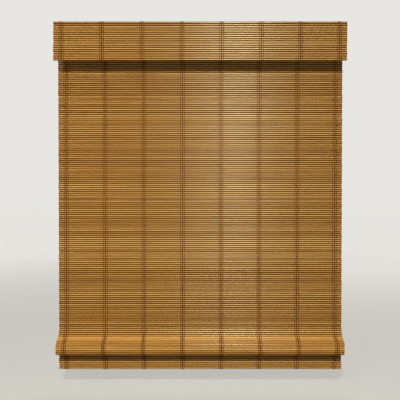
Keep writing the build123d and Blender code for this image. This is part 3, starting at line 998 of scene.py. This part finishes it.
    def base(self, name: str, reeds: Sequence[Reed]) -> bpy.types.Mesh:
        """Make the points that a stretch of mat grows from.

        Args:
            name: The mesh's name.
            reeds: The stretch's reeds.

        Returns:
            Points with each reed's lean, number, share of painted shade in its grooves, tone and blush.
        """
        draws = [np.random.default_rng((self.tone_seed, reed.number)) for reed in reeds]
        tones = [draw.uniform() for draw in draws]
        blushes = [draw.uniform() for draw in draws]
        return point_mesh(name, [(0.0, reed.y, reed.z) for reed in reeds],
                          {"tilt": [reed.tilt for reed in reeds], "reed": [reed.number for reed in reeds],
                           "shade_in_grooves": [self._shade_for_grooves(reed) for reed in reeds],
                           "tone": tones, "blush": blushes})

    def lay(self, name: str, reeds: Sequence[Reed], body: str, mat_node: str, twine_node: str,
            pressed: bool = False) -> list[bpy.types.Object]:
        """Make one stretch of mat.

        Args:
            name: The stretch's name.
            reeds: Its reeds.
            body: The body that it moves with.
            mat_node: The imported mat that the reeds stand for.
            twine_node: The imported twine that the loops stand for.
            pressed: Whether its front is pressed flat against wood.

        Returns:
            Its reeds and its twine.
        """
        flat_reeds = {"Front crown": self.back_crown} if pressed else None
        flat_twine = {"Front standoff": 0.0} if pressed else None
        slats = self.reed_recipe.run(f"{name}_reeds", self.base(f"{name}_reed_points", reeds), flat_reeds)
        loops = self.twine_recipe.run(f"{name}_twine", self.base(f"{name}_twine_points", reeds), flat_twine)
        return [settle(slats, body, "bamboo", mat_node), settle(loops, body, "twine", twine_node)]


@dataclass
class ShadeMat:
    """The hanging mat: stapled strip, six drops between ring rows, and the fold with its hem."""

    bed: ReedBed
    y: float = 0.0125
    top: float = -0.0412
    batten_under: float = -0.0612
    foot: float = -1.106
    thickness: float = 0.0024
    fold_depth: float = 0.035
    top_radius: float = 0.040
    front_radius: float = 0.010
    foot_radius: float = 0.009
    hem_radius: float = 0.008
    front_height: float = 0.0205
    hem_height: float = 0.056
    slope: float = math.radians(60.0)
    rise: float = math.radians(20.0)
    straight_tilt: float = 0.01
    drops: int = 6
    lift: float = LIFT
    fold_angle: float = math.radians(25.0)

    def __post_init__(self) -> None:
        """Work out where the fold starts and how far apart the ring rows are."""
        bends = self.top_radius + self.front_radius
        self.slope_run = (self.fold_depth - bends * (1 - math.cos(self.slope))) / math.sin(self.slope)
        slope_drop = bends * math.sin(self.slope) + self.slope_run * math.cos(self.slope)
        foot_centre = self.foot + self.hem_height + self.thickness / 2 + self.foot_radius
        self.fold_top = foot_centre + self.front_height + slope_drop
        self.step = (self.batten_under - self.fold_top) / self.drops

    def line(self) -> MatLine:
        """Give the mat's centre line.

        Returns:
            The line, from the headrail down.
        """
        tuck = 1 + math.sin(self.rise)
        under = (self.fold_depth - (self.foot_radius + self.hem_radius) * tuck) / math.cos(self.rise)
        turn = math.pi / 2 + self.rise
        runs = ((self.top - self.fold_top, 0.0), (self.top_radius, self.slope), (self.slope_run, 0.0),
                (self.front_radius, -self.slope), (self.front_height, 0.0), (self.foot_radius, -turn),
                (under, 0.0), (self.hem_radius, turn))
        bare = MatLine((self.y, self.top), runs)
        _, hem_top = bare.at(bare.length())
        return MatLine((self.y, self.top), runs + ((hem_top - self.foot, 0.0),))

    def carrier(self, row: int) -> str:
        """Name the body that carries a ring row.

        Args:
            row: The row, with 0 for the batten.

        Returns:
            The body's name.
        """
        if row == 0:
            return "headrail_body"
        return "bottom_bar" if row == self.drops else f"rings_{row}"

    def gather(self, piece: bpy.types.Object, row: int) -> None:
        """Give half a drop a mesh of its own.

        Args:
            piece: The half drop.
            row: The ring row that it hangs from or stands on.
        """
        share = self.lift / (self.batten_under - self.fold_top) / math.cos(self.fold_angle) ** 2
        self.batten_under - self.step * row
        1 - share
        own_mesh(piece)

    def build(self) -> None:
        """Make every stretch and fix it to its body."""
        stretches: dict[tuple[int, bool] | str, list[Reed]] = {}
        for reed in self.line().reeds():
            if reed.z > self.batten_under:
                key: tuple[int, bool] | str = "stapled"
            elif reed.z < self.fold_top or abs(reed.tilt) > self.straight_tilt:
                key = "fold"
            else:
                halves = int((self.batten_under - reed.z) / (self.step / 2))
                key = ((halves + 1) // 2, halves % 2 == 0)
            stretches.setdefault(key, []).append(reed)
        for key, reeds in stretches.items():
            if isinstance(key, str):
                body = "headrail_body" if key == "stapled" else "bottom_bar"
                self.bed.lay(f"mat_{key}", reeds, body, "shade_mat", "shade_twine", key == "stapled")
                continue
            row, upper = key
            name = f"mat_row{row}_{'below' if upper else 'above'}"
            for piece in self.bed.lay(name, reeds, self.carrier(row), "shade_mat", "shade_twine"):
                self.gather(piece, row)


@dataclass
class Valance:
    """The short mat in front of the headrail."""

    bed: ReedBed
    y: float = -0.033
    top: float = -0.002
    height: float = 0.1208
    first_number: int = 626

    def build(self) -> None:
        """Make the valance and fix it to the headrail."""
        reeds = MatLine((self.y, self.top), ((self.height, 0.0),)).reeds(self.first_number)
        self.bed.lay("valance_face", reeds, "headrail_body", "valance_mat", "valance_twine")


@dataclass
class Staples:
    """Wire staples through the back of the mat into the batten."""

    count: int = 15
    reach: float = 0.43
    y: float = 0.0141
    z: float = -0.052
    crown: float = 0.011
    leg: float = 0.004
    wire: float = 0.0005
    wire_sides: int = 6
    corner_points: int = 2
    crease: float = 1.2
    shift: float = 0.004
    shift_seed: int = 3
    drop: float = 0.002
    drop_seed: int = 4
    lean: float = 0.12
    lean_seed: int = 6
    finish: Finish = SteelFinish("staple_wire")

    def build(self) -> None:
        """Make the row of staples."""
        recipe = Recipe("staples")
        step, crown, leg, wire = recipe.inputs(SocketKind.LENGTH, {
            "Step": 2 * self.reach / (self.count - 1), "Crown": self.crown, "Leg": self.leg,
            "Wire": self.wire})
        count, = recipe.inputs(SocketKind.COUNT, {"Count": self.count})
        line = recipe.node("GeometryNodeCurvePrimitiveQuadrilateral", None,
                           {"Width": crown, "Height": leg * 2}, "Curve")
        line = recipe.node("GeometryNodeFilletCurve", {"mode": "POLY"},
                           {"Curve": line, "Count": self.corner_points, "Radius": wire * 2})
        x, depth, _ = recipe.place()
        line = recipe.shaped(line, x, depth - leg, 0.0)
        staple = recipe.tube(line, recipe.circle(self.wire_sides, wire))
        places = recipe.moved(recipe.row(count, (-self.reach, self.y, self.z), step),
                              recipe.scatter(self.shift, self.shift_seed), 0.0,
                              recipe.scatter(self.drop, self.drop_seed))
        lean = recipe.vector(0.0, recipe.scatter(self.lean, self.lean_seed), 0.0)
        recipe.close(recipe.smooth(recipe.on_points(places, staple, lean), self.crease), self.finish)
        settle(recipe.run("staples", point_mesh("staple_base", [])), "headrail_body", "screw_steel")


@dataclass
class RingTies:
    """Turns of thread that hold each ring to the back of the mat."""

    mat: ShadeMat
    x: float = RING_X
    y: float = 0.01475
    half_depth: float = 0.0019
    half_height: float = 0.0016
    turns: int = 4
    turn_step: float = 0.0008
    turn_points: int = 10
    thread_radius: float = 0.00042
    thread_sides: int = 5
    lean: float = 0.2
    lean_seed: int = 2
    twist: float = 0.15
    twist_seed: int = 8
    finish: Finish = ThreadFinish("tie_thread", light=srgb(168, 118, 66))

    def build(self) -> None:
        """Tie every row."""
        recipe = Recipe("ring_ties")
        step, depth, height, radius = recipe.inputs(SocketKind.LENGTH, {
            "Turn step": self.turn_step, "Half depth": self.half_depth,
            "Half height": self.half_height, "Thread radius": self.thread_radius})
        turns, = recipe.inputs(SocketKind.COUNT, {"Turns": self.turns})
        line = recipe.circle(self.turn_points, 1.0)
        a, b, _ = recipe.place()
        line = recipe.shaped(line, 0.0, a * depth, b * height)
        loop = recipe.tube(line, recipe.circle(self.thread_sides, radius))
        row = recipe.row(turns, (-self.turn_step * (self.turns - 1) / 2, 0.0, 0.0), step)
        turn = recipe.vector(recipe.scatter(self.lean, self.lean_seed), 0.0,
                             recipe.scatter(self.twist, self.twist_seed))
        tie = recipe.on_points(row, loop, turn)
        recipe.close(recipe.smooth(recipe.on_points(recipe.base(), tie), math.pi), self.finish)
        for number in range(1, self.mat.drops + 1):
            z = self.mat.batten_under - self.mat.step * number
            places = [(side * self.x, self.y, z) for side in (-1, 1)]
            piece = recipe.run(f"ring_tie_{number}", point_mesh(f"ring_tie_base_{number}", places))
            settle(piece, self.mat.carrier(number), "twine")


@dataclass
class LiftCords:
    """Two braided cords, from their spools over the pulleys and down to the bottom rail."""

    spool_x: float = 0.054
    ring_x: float = RING_X
    y: float = 0.020
    z: float = -0.0246
    end: float = -1.075
    radius: float = 0.0007
    lead: float = 0.0084
    lift: float = LIFT
    line_steps: int = 20
    line_order: int = 3
    round_steps: int = 2
    finish: Finish = ThreadFinish("lift_cord_braid", srgb(112, 76, 40), srgb(176, 132, 80), ply=0.0022)

    def route(self, side: int) -> list[Vector]:
        """Give a cord's control points, from spool to anchor: side is -1 for left, 1 for right."""
        corner = Vector((side * self.ring_x, self.y, self.z))
        return [Vector((side * self.spool_x, self.y, self.z)), corner - Vector((side * self.lead, 0, 0)),
                corner, corner - Vector((0, 0, self.lead)), Vector((corner.x, self.y, self.end))]

    def _spline(self, side: int, thick: bool) -> bpy.types.Mesh:
        """Turn one cord's smooth line into a mesh.

        Args:
            side: -1 for the left cord, 1 for the right.
            thick: Whether the mesh is the round cord or its bare centre line.

        Returns:
            The mesh.
        """
        data = bpy.data.curves.new("cord_line", "CURVE")
        data.dimensions = "3D"
        data.resolution_u = self.line_steps
        route = self.route(side)
        spline = data.splines.new("NURBS")
        spline.points.add(len(route) - 1)
        for point, place in zip(spline.points, route):
            point.co = (*place, 1.0)
        spline.order_u = self.line_order
        spline.use_endpoint_u = True
        if thick:
            data.bevel_depth = self.radius
            data.bevel_resolution = self.round_steps
            data.use_fill_caps = True
        holder = stand("cord_line", data)
        mesh = plain_mesh(holder)
        bpy.data.objects.remove(holder)
        return mesh

    def build(self) -> None:
        """Make both cords."""
        for side, word in ((-1, "left"), (1, "right")):
            path = [vertex.co.copy() for vertex in self._spline(side, thick=False).vertices]
            mesh = self._spline(side, thick=True)
            mesh.materials.append(self.finish.material())
            piece = settle(stand(f"cord_{word}", mesh), "headrail_body", "cord", f"lift_cord_{word}")
            length = sum((b - a).length for a, b in zip(path, path[1:]))
            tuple(path[0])
            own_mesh(piece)


@dataclass
class Hardware:
    """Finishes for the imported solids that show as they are."""

    enamel: Finish = EnamelFinish("cream_enamel")
    cap: Finish = MouldedFinish("cap_moulding")
    motor: Finish = MouldedFinish("motor_moulding", srgb(222, 222, 216), srgb(196, 194, 184), roughness=0.5)
    wheel: Finish = MouldedFinish("wheel_moulding", srgb(244, 242, 234), srgb(224, 218, 202), roughness=0.3)
    ring: Finish = MouldedFinish("ring_moulding", srgb(226, 206, 168), srgb(200, 172, 124), roughness=0.24)
    plated: Finish = SteelFinish("plated_steel")
    spring: Finish = SteelFinish("spring_steel", srgb(150, 156, 164), srgb(108, 112, 118), roughness=0.22)
    batten: Finish = TimberFinish("batten_timber")
    rail: Finish = TimberFinish("rail_timber", srgb(186, 132, 70), srgb(128, 80, 36), roughness=0.45)
    tape: Finish = WovenFinish("hook_tape")

    def build(self) -> None:
        """Give each node its finish."""
        by_slot = {"headrail_metal": self.enamel, "cap_plastic": self.cap, "clip_steel": self.plated,
                   "screw_steel": self.plated, "motor_plastic": self.motor, "wheel_plastic": self.wheel,
                   "spring_steel": self.spring, "pin_steel": self.plated, "batten_wood": self.batten,
                   "rail_wood": self.rail, "ring_plastic": self.ring, "tape": self.tape}
        for part in frame["record"]["subparts"]:
            finish = by_slot.get(part["material_slot"])
            if finish is not None:
                node = frame["nodes"][part["node"]]
                for slot in node.material_slots:
                    slot.material = finish.material()
                LOG.info("%s: %s", part["node"], finish.name)


@dataclass(frozen=True)
class Lamp:
    """A flat soft lamp, which may be kept from showing in gloss or from lighting matt surfaces."""

    name: str
    place: Place
    width: float
    height: float
    power: float
    glints: bool = True
    lights: bool = True
    colour: Place = (1.0, 0.965, 0.90)
    aim: Place = (0.0, 0.0, -0.9)

    def hang(self) -> None:
        """Hang the lamp, facing its aim."""
        data = bpy.data.lights.new(self.name, "AREA")
        data.shape = "RECTANGLE"
        data.size = self.width
        data.size_y = self.height
        data.energy = self.power
        data.color = self.colour
        lamp = stand(self.name, data)
        lamp.visible_camera = False
        lamp.visible_glossy = self.glints
        lamp.visible_diffuse = self.lights
        lamp.location = self.place
        lamp.rotation_euler = (Vector(self.aim) - Vector(self.place)).to_track_quat("-Z", "Y").to_euler()


@dataclass
class Studio:
    """Pale floor that fades into pale surroundings, soft light and the camera."""

    floor_z: float = -1.165
    floor_radius: float = 30.0
    floor_sides: int = 96
    lens: float = 38.78
    sensor: float = 36.0
    camera_place: Place = (-0.0006, -1.38, -0.5403)
    camera_dip: float = math.radians(0.705)
    lamps: tuple[Lamp, ...] = (
        Lamp("key", place=(-0.15, -2.1, 0.95), width=0.26, height=0.45, power=116.0, glints=False,
             colour=(0.98, 1.0, 0.8), aim=(-0.15, -2.35, -1.165)),
        Lamp("gloss", place=(0.29, -2.1, 0.95), width=0.26, height=0.45, power=205.0, lights=False,
             colour=(0.925, 1.0, 0.69), aim=(0.29, -2.0, -1.165)),
        Lamp("side", place=(-1.3, -2.0, 0.8), width=0.8, height=0.8, power=20.0, glints=False),
        Lamp("rear", place=(0.7, 2.2, 0.6), width=1.4, height=1.4, power=42.0, glints=False),
    )
    world_colour: Colour = srgb(255, 226, 190)
    world_strength: float = 0.08
    seen_colour: Colour = PALE
    seen_strength: float = 0.95
    finish: Finish = PaintFinish("pale_paint")

    def _floor(self) -> None:
        """Make the round floor."""
        turn = math.tau / self.floor_sides
        rim = [(self.floor_radius * math.cos(turn * i), self.floor_radius * math.sin(turn * i), self.floor_z)
               for i in range(self.floor_sides)]
        mesh = bpy.data.meshes.new("floor")
        mesh.from_pydata(rim, [], [list(range(self.floor_sides))])
        mesh.materials.append(self.finish.material())
        stand("floor", mesh)

    def _world(self) -> None:
        """Fill the surroundings with even pale light."""
        world = bpy.data.worlds.new("studio")
        world.use_nodes = True
        world.node_tree.nodes.clear()
        graph = Graph(world.node_tree)
        light, seen = (graph.node("ShaderNodeBackground", None, {"Color": colour, "Strength": strength})
                       for colour, strength in ((self.world_colour, self.world_strength),
                                                (self.seen_colour, self.seen_strength)))
        shown = graph.node("ShaderNodeMixShader", None, {0: graph.seen(), 1: light, 2: seen})
        graph.node("ShaderNodeOutputWorld", None, {"Surface": shown})
        bpy.context.scene.world = world

    def _camera(self) -> None:
        """Set the camera where the photograph was taken from."""
        data = bpy.data.cameras.new("camera")
        data.lens = self.lens
        data.sensor_width = self.sensor
        camera = stand("camera", data)
        camera.location = self.camera_place
        camera.rotation_euler = (math.pi / 2 - self.camera_dip, 0.0, 0.0)
        bpy.context.scene.camera = camera

    def build(self) -> None:
        """Set up the studio."""
        bpy.context.scene.view_settings.view_transform = "Standard"
        self._floor()
        for lamp in self.lamps:
            lamp.hang()
        self._world()
        self._camera()


def main() -> None:
    """Build the shade piece by piece, then the studio round it."""
    logging.basicConfig(level=logging.INFO, format="%(message)s")
    bed = ReedBed()
    mat = ShadeMat(bed)
    for assembly in (mat, Valance(bed), Staples(), RingTies(mat), LiftCords(), Hardware(), Studio()):
        assembly.build()
        LOG.info("%s done", type(assembly).__name__)


if __name__ == "__main__":
    main()
